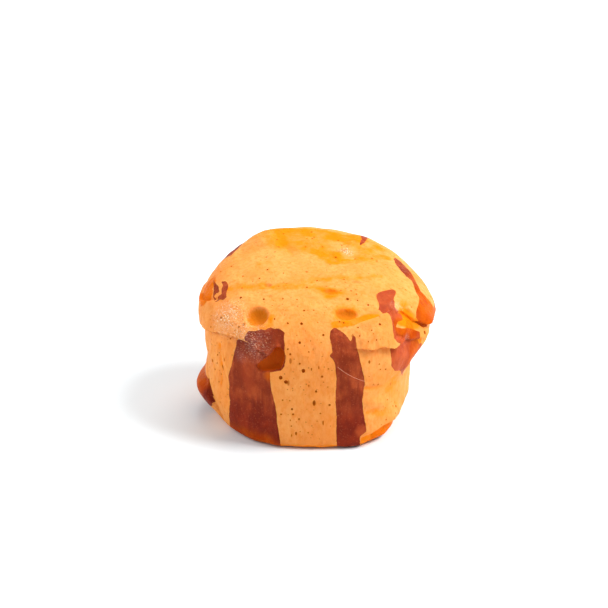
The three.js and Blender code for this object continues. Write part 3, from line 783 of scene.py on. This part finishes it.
def write_mark(mesh, name, values):
    layer = mesh.attributes.new(name, "FLOAT", "POINT")
    layer.data.foreach_set("value", np.asarray(values, np.float32))


def paint(piece):
    """Writes where the candy is clear orange and where painted glow lies, its pink-red places and painted
    sheen, where it glistens and gets painted glints, and painted shade deep in pores and bubbles.
    """
    x, y, z = corners_of(piece.data).T / MM
    in_pore = -candy(x, y, z) / PORE_DARK_DEPTH
    in_bubble = np.minimum(-folded(x, y, z) / BUBBLE_DARK_DEPTH, 0.5)
    # Orange at the foot: clear candy, and painted glow of light through the thin candy low down.
    clear_and_glowing_foot = 0.7 * ease(2.6, 0.4, z) * ease(0, -8, y) * ease(-3, -6, x) + 0.3 * ease(0.9, 0.1, z)
    rose_and_sheen = np.maximum(spots(x, y, z, PINK_AND_SHEEN_PLACES), lines(x, y, z, PAINTED_SHEEN_LINES))
    write_mark(piece.data, "orange", np.maximum(spots(x, y, z, ORANGE_AND_GLOW_PLACES), clear_and_glowing_foot))
    write_mark(piece.data, "rose_and_sheen", rose_and_sheen)
    write_mark(piece.data, "pit_shade", np.clip(np.maximum(in_pore, in_bubble), 0, 1))
    write_mark(piece.data, "glisten_and_glints", spots(x, y, z, GLISTEN_AND_GLINT_PLACES))


red_candy = red_finish()
for number, name in enumerate(BANDS):
    outer = faces[in_band == number]
    inner = outer[:, ::-1] + len(points)
    band = make_piece("candy_" + name, np.concatenate([outer, inner, walls(outer)]))
    paint(band)
    band.data.materials.append(red_candy)
    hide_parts(name)
    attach(band, "root")


# ---- The cream candy ---------------------------------------------------------
# The rest is one piece of cream-orange candy, opaque from the air pulled into it, and clear amber
# where it was pressed. Small air bubbles open on its skin as pores.
cream_faces = [faces[in_band < 0]]
for number in range(len(BANDS)):
    outer = faces[in_band == number]
    cream_faces += [outer + len(points), walls(outer)[:, ::-1]]
body = make_piece("pulled_candy", np.concatenate(cream_faces))

# Where a pore is plain to see it is listed: its middle, radius and height over width.
PLAIN_PORES = (
    ((-1.9, -11, 13), 0.15, 1.2), ((0.7, -10.5, 13.7), 0.15, 1), ((-0.9, -11.5, 12.1), 0.1, 1),
    ((0.2, -11.9, 10.4), 0.09, 2.6), ((-1.5, -11.9, 10), 0.22, 1.2), ((-4, -11.6, 9), 0.22, 1.2),
    ((-3.4, -11.6, 8.5), 0.24, 1), ((-3.8, -11.5, 6.2), 0.11, 1), ((-3, -11.6, 6.2), 0.09, 1),
    ((-0.3, -11.8, 6), 0.19, 2), ((0.4, -11.7, 4.7), 0.11, 1), ((0.7, -11.6, 3.5), 0.1, 3.6),
    ((1.2, -11.7, 8), 0.08, 1.5), ((-0.9, -11.8, 8.2), 0.09, 1.5),
    ((-2.8, -11.4, 1.8), 0.09, 2), ((-3.2, -11.2, 12.3), 0.12, 1), ((-10.6, -7.3, 8.2), 0.25, 1.6),
    ((6.5, -10.4, 13), 0.11, 1), ((7, -10.5, 9.5), 0.11, 1), ((6.8, -10.3, 7.6), 0.11, 1),
    ((-4.7, -11.4, 3.2), 0.09, 1.5),
    ((11.8, -4.6, 11.2), 0.22, 1.2), ((-8.3, -1.4, 16.8), 0.11, 1), ((-6.4, -2.4, 16.9), 0.13, 1),
    ((0.7, 4.2, 18.1), 0.12, 1), ((4.4, -5.1, 16.2), 0.1, 1), ((5.7, -6.5, 15.5), 0.14, 1),
    ((-8.5, -5.2, 15.9), 0.17, 1), ((-1.7, -9.5, 14.6), 0.18, 1), ((-3.2, -9.4, 14.6), 0.13, 1),
    ((-1.1, -4.5, 16.8), 0.14, 1), ((3.4, -6, 16), 0.21, 1), ((-2.2, -6.5, 16.1), 0.1, 1),
)
PORE_LOW, PORE_HIGH = 0.06, 0.15

# The others are strewn where the skin is airy: away from the bands, the foot and the open bubbles, and
# seldom on the crown.
open_skin = make_piece("open_skin", faces[in_band < 0])
spread = corners_of(open_skin.data) / MM
airy = ease(-0.35, -0.7, all_levels(spread)[1]) * ease(0.6, 1.6, spread[:, 2])
airy *= 1 - 0.75 * ease(15.5, 17.0, spread[:, 2])
airy *= ease(0.05, -0.02, -folded(*spread.T))
for middle, radius, tall in PLAIN_PORES:
    gone = np.linalg.norm((spread - middle) / (1, 1, max(tall, 1)), axis=1)
    airy *= ease(radius + 0.2, radius + 0.5, gone)
own_places = settle(np.array([middle for middle, _, _ in PLAIN_PORES], float), 8)
start = len(spread)
open_skin.data.vertices.add(len(own_places))
open_skin.data.vertices.foreach_set("co", np.concatenate([spread, own_places]).ravel() * MM)
columns = {"airy": np.append(airy, np.zeros(len(own_places))),
           "own_radius": np.append(np.zeros(start), [radius * MM for _, radius, _ in PLAIN_PORES]),
           "own_tall": np.append(np.zeros(start), [tall for _, _, tall in PLAIN_PORES])}
for name, values in columns.items():
    write_mark(open_skin.data, name, values)
open_skin.data.update()

air = bpy.data.node_groups.new("air_bubbles", "GeometryNodeTree")
air.interface.new_socket("Skin", in_out="INPUT", socket_type="NodeSocketGeometry")
air.interface.new_socket("Bubbles", in_out="OUTPUT", socket_type="NodeSocketGeometry")
SIZES = {"Per Square Metre": 900000.0, "Apart": 0.00042, "Smallest": PORE_LOW * MM,
         "Largest": PORE_HIGH * MM, "Tallest": 2.2, "Seed": 4}
for name, value in SIZES.items():
    kind = "NodeSocketInt" if name == "Seed" else "NodeSocketFloat"
    air.interface.new_socket(name, in_out="INPUT", socket_type=kind).default_value = value
given = node(air, "NodeGroupInput").outputs
airy_there, own_radius, own_tall = [
    node(air, "GeometryNodeInputNamedAttribute", {"Name": name}).outputs["Attribute"] for name in columns]
strewn = node(air, "GeometryNodeDistributePointsOnFaces", {
    "Mesh": given["Skin"], "Distance Min": given["Apart"], "Density Max": given["Per Square Metre"],
    "Density Factor": airy_there, "Seed": given["Seed"]}, distribute_method="POISSON").outputs["Points"]
chance = node(air, "FunctionNodeRandomValue", {"Seed": given["Seed"]}).outputs["Value"]
often_small = reckoned(air, "POWER", chance, 2.2)
radius = node(air, "ShaderNodeMapRange", {0: often_small, 3: given["Smallest"],
                                          4: given["Largest"]}).outputs[0]
next_seed = reckoned(air, "ADD", given["Seed"], 1.0)
other_chance = node(air, "FunctionNodeRandomValue", {"Seed": next_seed}).outputs["Value"]
often_round = reckoned(air, "POWER", other_chance, 3.0)
tall = node(air, "ShaderNodeMapRange", {0: often_round, 3: 1.0, 4: given["Tallest"]}).outputs[0]


def kept_on(points_in, name, value):
    return node(air, "GeometryNodeStoreNamedAttribute", {"Geometry": points_in, "Name": name,
                                                         "Value": value}).outputs[0]


strewn = kept_on(kept_on(strewn, "own_radius", radius), "own_tall", tall)
has_own = node(air, "FunctionNodeCompare", {0: own_radius, 1: 0.0}, operation="GREATER_THAN").outputs[0]
placed = node(air, "GeometryNodeMeshToPoints", {"Mesh": given["Skin"], "Selection": has_own}).outputs[0]
together = node(air, "GeometryNodeJoinGeometry")
for part in (strewn, placed):
    air.links.new(part, together.inputs[0])
ball = node(air, "GeometryNodeMeshIcoSphere", {"Radius": 1.0, "Subdivisions": 2}).outputs[0]
height = times(air, own_radius, own_tall)
size = node(air, "ShaderNodeCombineXYZ", {0: own_radius, 1: own_radius, 2: height}).outputs[0]
balls = node(air, "GeometryNodeInstanceOnPoints", {"Points": together.outputs[0], "Instance": ball,
                                                   "Scale": size}).outputs[0]
real = node(air, "GeometryNodeRealizeInstances", {0: balls}).outputs[0]


def patch(tree, place, name, low=0.08, high=0.42):
    """A painted mark, with an uneven edge."""
    uneven = ramp(tree, grain(tree, place, 900, 4, 0.6), 0.25, 0.75, -0.16, 0.16)
    there = ramp(tree, marked(tree, name), 0.0, 0.1)
    return times(tree, there, ramp(tree, reckoned(tree, "ADD", marked(tree, name), uneven), low, high))


def cream_finish():
    """Satin cream-orange candy with soft clouds, clear amber where it was pressed, clear orange partly
    painted as glow, and painted glints; tiny pores and slits are painted dark as painted shade, and pores
    and bubbles get painted shade inside.
    """
    material, tree, place = new_finish("cream_candy_finish")
    clouds = ramp(tree, grain(tree, place, 300, 3), 0.35, 0.65)
    mottle = ramp(tree, grain(tree, place, 2300, 4, 0.65, (1, 1, 0.55)), 0.38, 0.72)
    colour = mixed(tree, clouds, (0.86, 0.334, 0.086, 1), (0.84, 0.285, 0.062, 1))
    colour = mixed(tree, times(tree, mottle, 0.7), colour, (0.77, 0.215, 0.030, 1))
    swirl = ramp(tree, grain(tree, place, 420, 4, 0.6), 0.28, 0.56, 0.35, 1.0)
    colour = mixed(tree, times(tree, swirl, patch(tree, place, "amber", 0.05, 0.55)), colour,
                   (0.85, 0.21, 0.003, 1))
    # Clear orange, partly painted glow.
    colour = mixed(tree, patch(tree, place, "orange"), colour, (0.74, 0.150, 0.002, 1))
    # Tiny pores too small to cut are painted as dark dots: painted shade in them.
    cells = node(tree, "ShaderNodeTexVoronoi", {"Vector": place, "Scale": 1300.0})
    pore_shade_dots = times(tree, ramp(tree, cells.outputs["Distance"], 0.14, 0.06),
                 ramp(tree, cells.outputs["Color"], 0.25, 0.3))
    colour = mixed(tree, times(tree, pore_shade_dots, 0.7), colour, (0.32, 0.08, 0.008, 1))
    # Narrow upright slits painted dark: painted shade in them.
    upright = node(tree, "ShaderNodeMapping", {"Vector": place, "Scale": (1, 1, 0.4)}).outputs[0]
    slits = node(tree, "ShaderNodeTexVoronoi", {"Vector": upright, "Scale": 700.0})
    slit_shade = times(tree, ramp(tree, slits.outputs["Distance"], 0.13, 0.06),
                       ramp(tree, slits.outputs["Color"], 0.62, 0.66))
    colour = mixed(tree, times(tree, slit_shade, 0.75), colour, (0.40, 0.095, 0.008, 1))
    # Painted shade inside pores and bubbles, darkest where deepest.
    sunk = marked(tree, "pit_shade")
    colour = mixed(tree, ramp(tree, sunk, 0.0, 0.4), colour, (0.60, 0.165, 0.007, 1))
    colour = mixed(tree, ramp(tree, sunk, 0.55, 0.95), colour, (0.40, 0.085, 0.006, 1))
    colour = painted_glints(tree, place, colour, 0.53, (0.95, 0.76, 0.47, 1))
    rough = ramp(tree, grain(tree, place, 700, 3), 0.3, 0.7, 0.34, 0.50)
    normal = bumpy(tree, 0.8, 0.00007, grain(tree, place, 3800, 3, 0.65))
    normal = bumpy(tree, 0.75, 0.0003, grain(tree, place, 620, 3, 0.5, (1.4, 1.4, 0.5)), Normal=normal)
    sparkle = grain(tree, place, 3600, 2, 0.6)
    normal = bumpy(tree, times(tree, marked(tree, "glisten_and_glints"), 1.0), 0.00022, sparkle, Normal=normal)
    candy_surface(tree, colour, rough, normal, (0.15, (1.0, 0.42, 0.12), 0.0007, 1.06), (0.8, 0.12))
    return material


cream_candy = cream_finish()
finished = node(air, "GeometryNodeSetMaterial", {"Geometry": real, "Material": cream_candy}).outputs[0]
node(air, "NodeGroupOutput", {0: finished})
modifier = open_skin.modifiers.new("air_bubbles", "NODES")
modifier.node_group = air
for item in air.interface.items_tree:
    if item.in_out == "INPUT" and item.name in SIZES:
        modifier[item.identifier] = SIZES[item.name]
bubbles = new_object("air_bubbles", finished_mesh(open_skin, "air_bubbles"))
bpy.data.objects.remove(open_skin)
body.data.materials.append(cream_candy)
cut = body.modifiers.new("pores", "BOOLEAN")
cut.operation = "DIFFERENCE"
cut.solver = "MANIFOLD"
cut.object = bubbles
pored = finished_mesh(body, "pulled_candy")
body.modifiers.clear()
body.data = pored
bpy.data.objects.remove(bubbles)
smooth(pored)
pored.materials.clear()
pored.materials.append(cream_candy)
pored.polygons.foreach_set("material_index", [0] * len(pored.polygons))

AMBER_PLACES = (
    ((-3, 5.9, 18.4), 4, 0.9), ((-0.7, 4.7, 18.3), 3.2, 1.1), ((1.5, 2.2, 17.8), 2.2, 0.9),
    ((-4.2, 7.5, 18.3), 3.5, 0.9), ((4.3, 6.3, 17.7), 2, 1), ((5.6, 4.8, 17.4), 1.8, 0.8),
    ((7.1, 6.6, 17), 1.6, 0.7), ((5.5, 2.5, 17.4), 2, 0.6), ((-6.1, -3.8, 16.65), 0.9, 1),
    ((1.6, -5.4, 16.7), 1.3, 1.2), ((3.3, -8.3, 15.3), 1.9, 1.1), ((9.9, -6, 13.7), 1.6, 1.6),
    ((10.9, -5, 12.6), 1.1, 1.2), ((9.2, -6.5, 13.6), 1.1, 1.8), ((11.4, -5.6, 10.2), 1.2, 1.2),
    ((9.7, -4.6, 14.9), 1, 0.7), ((8.6, -8.7, 6.5), 2.4, 0.45), ((-1, 11.9, 9), 3.5, 0.6),
    ((6, 10.8, 4), 2.5, 0.6), ((-10.5, 7, 8), 3, 0.6), ((11.5, 6, 6), 2.6, 0.5),
    ((-6, 0.5, 17.6), 1.6, 0.35),
)
AMBER_LINES = (
    (((-10.2, -2.9, 15.9), (-7.5, -3.7, 16.5), (-4.7, -4.2, 16.7), (-1.3, -4.2, 16.8), (1.5, -5, 16.5),
      (2.9, -5.1, 16.4)), 1, 0.5),
    (((-1.5, -3.5, 17), (2.1, -2.6, 17.1), (5.4, -2.1, 16.9), (7.1, -1.1, 16.7)), 0.9, 0.42),
    (((-4.8, 8.2, 18.3), (-1.9, 8, 18.3), (1.6, 7.4, 18.1), (4.6, 7.1, 17.7)), 1.8, 1.1),
    (((-4.7, 8.3, 18.3), (-1.9, 4.8, 18.2), (1, 2.2, 17.8), (2.1, 0.9, 17.7)), 1.1, 1.3),
    (((1.5, 0.6, 17.7), (4.7, 1.4, 17.5), (7.9, 4.2, 16.8)), 0.9, 0.9),
    (((2, -9.5, 14.5), (3.4, -9.2, 14.6), (4.5, -8.8, 14.6), (5.4, -8.3, 14.8), (6.6, -7.9, 14.9)),
     0.6, 1.3),
    (((-7.4, -9.6, 14.2), (-6.3, -9.9, 14.1), (-5.1, -9.4, 14.6), (-5.1, -8.7, 15)), 0.7, 0.8),
)
# Clear orange places on the cream: partly clear candy, partly painted glow of light through the thin left
# face and the right lobe.
CLEAR_AND_GLOW_PLACES = (
    ((-12.7, 0.4, 14.6), 2.1, 1.6), ((-12.6, -1.7, 14.4), 1.3, 2), ((-5.1, -9.2, 14.6), 0.3, 0.6),
    ((-5.1, -8.9, 14.85), 0.3, 0.6), ((-5.1, -8.6, 15.1), 0.25, 0.5), ((10.3, -6.3, 12.6), 1.3, 1),
)
CREASE_SHADE = 0.42
paint(body)
x, y, z = corners_of(pored).T / MM
amber = np.maximum(spots(x, y, z, AMBER_PLACES), lines(x, y, z, AMBER_LINES))
under_lip = ease(0.1, -0.1, z - foot_lip(x)) * ease(4.6, 5.4, x) * ease(-1, -3, y)
# Amber under the foot's lip, and painted shade all round the foot low down, below about 0.9 mm.
amber = np.maximum(amber, np.maximum(1.2 * under_lip, 0.6 * ease(0.9, 0.2, z)))
# Painted shade in the creases: the hollow creases are painted amber to darken them.
shaded_creases = [(corners, reach, CREASE_SHADE) for corners, reach, lift in CREASES if lift < 0]
amber = np.maximum(amber, lines(x, y, z, shaded_creases))
clear = np.maximum(spots(x, y, z, CLEAR_AND_GLOW_PLACES), 0.9 * under_lip * ease(5.6, 6.8, x))
write_mark(pored, "amber", amber)
pored.attributes["orange"].data.foreach_set("value", clear.astype(np.float32))
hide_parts("taffy")
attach(body, "root")


# ---- The table ---------------------------------------------------------------
# The candy stands on a broad, matt, white table top, which is a flat board of four metres by four.
# It is only there for the picture.
TABLE_CORNERS = [(-2, -2, 0), (2, -2, 0), (2, 2, 0), (-2, 2, 0)]
board = bpy.data.meshes.new("table")
board.from_pydata(TABLE_CORNERS, [], [(0, 1, 2, 3)])
table = new_object("table", board)
table_white, tree, place = new_finish("table_white")
white = mixed(tree, grain(tree, place, 30), (0.81, 0.862, 0.88, 1), (0.83, 0.88, 0.90, 1))
matt = node(tree, "ShaderNodeBsdfPrincipled", {"Base Color": white, "Roughness": 0.9,
                                               "Specular IOR Level": 0.2})
node(tree, "ShaderNodeOutputMaterial", {"Surface": matt.outputs[0]})
board.materials.append(table_white)


# ---- Light and camera --------------------------------------------------------
# A white tent gives light from all sides, and three soft lamps add to it: the strongest at the right,
# a weaker one at the left, and one high at the back. The camera looks down at the front.
world = bpy.data.worlds.new("tent")
world.use_nodes = True
world.node_tree.nodes["Background"].inputs["Color"].default_value = (1, 1, 1, 1)
world.node_tree.nodes["Background"].inputs["Strength"].default_value = 0.47
scene.world = world
scene.view_settings.view_transform = "Standard"

LAMPS = (  # a name, a place and a width in metres, and watts
    ("right_lamp", (0.245, -0.03, 0.275), 0.2, 1.65),
    ("left_lamp", (-0.32, 0, 0.22), 0.25, 0.6),
    ("back_lamp", (0.05, 0.2, 0.4), 0.3, 0.8),
)
LAMP_AIM = Vector((0, 0, 0.008))
for name, spot, width, watts in LAMPS:
    light = bpy.data.lights.new(name, "AREA")
    light.shape = "DISK"
    light.size = width
    light.energy = watts
    lamp = new_object(name, light)
    lamp.location = spot
    lamp.rotation_mode = "QUATERNION"
    lamp.rotation_quaternion = (LAMP_AIM - Vector(spot)).to_track_quat("-Z", "Y")

CAMERA_TILT = math.radians(24)
CAMERA_FAR = 0.3
CAMERA_AIM = (-0.00142, 0, 0.01275)
SENSOR, LENS = 36, 156.3
lens = bpy.data.cameras.new("camera")
lens.sensor_width = SENSOR
lens.lens = LENS
camera = new_object("camera", lens)
camera.location = (CAMERA_AIM[0], -CAMERA_FAR * math.cos(CAMERA_TILT),
                   CAMERA_AIM[2] + CAMERA_FAR * math.sin(CAMERA_TILT))
camera.rotation_euler = (math.pi / 2 - CAMERA_TILT, 0, 0)
scene.camera = camera
